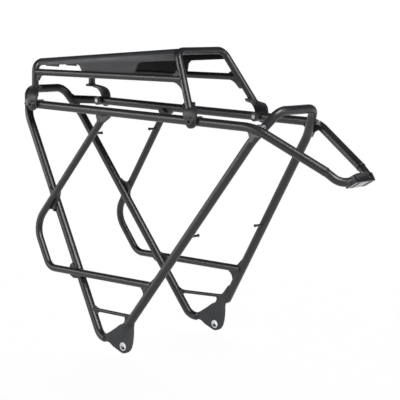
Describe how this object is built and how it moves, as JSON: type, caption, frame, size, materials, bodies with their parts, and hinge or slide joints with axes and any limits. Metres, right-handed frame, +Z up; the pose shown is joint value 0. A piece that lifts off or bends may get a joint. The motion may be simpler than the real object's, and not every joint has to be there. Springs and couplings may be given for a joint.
{
  "type": "bicycle rear pannier rack",
  "caption": "Tubular rear rack for a bicycle: wheel-straddling hoops, pannier rails and dropout plates, with a raised sheet-topped deck bolted above the side rails.",
  "frame": {"origin": "middle of the line through the two dropout bores", "axes": "+X forward towards the stay bridge, +Y to the bicycle's left, +Z up; both dropout bores run along Y"},
  "size_m": [0.5866, 0.216, 0.4146],
  "materials": {
    "frame_coating": "satin black powder coat",
    "deck_coating": "satin black powder coat",
    "sheet_coating": "satin black powder coat on sheet",
    "bare_metal": "machined, uncoated",
    "bolt_steel": "plain steel"
  },
  "bodies": {
    "root": {"rear_hoop": "frame_coating", "front_hoop": "frame_coating", "left_side_rail": "frame_coating", "right_side_rail": "frame_coating", "front_bridge": "frame_coating", "left_pannier_hoop": "frame_coating", "right_pannier_hoop": "frame_coating", "left_stay_rod": "frame_coating", "right_stay_rod": "frame_coating", "left_dropout": "frame_coating", "right_dropout": "frame_coating", "dropout_bushes": "bare_metal", "left_gussets": "frame_coating", "right_gussets": "frame_coating", "left_hook_pins": "frame_coating", "right_hook_pins": "frame_coating", "rail_bushes": "frame_coating", "junction_plugs": "bare_metal", "deck_rear_hoop": "deck_coating", "deck_front_hoop": "deck_coating", "deck_left_rail": "deck_coating", "deck_right_rail": "deck_coating", "deck_corner_webs": "deck_coating", "deck_panel": "sheet_coating", "panel_tabs": "sheet_coating", "rear_left_foot": "sheet_coating", "rear_right_foot": "sheet_coating", "front_left_foot": "sheet_coating", "front_right_foot": "sheet_coating", "deck_bolts": "bolt_steel"}
  },
  "joints": []
}
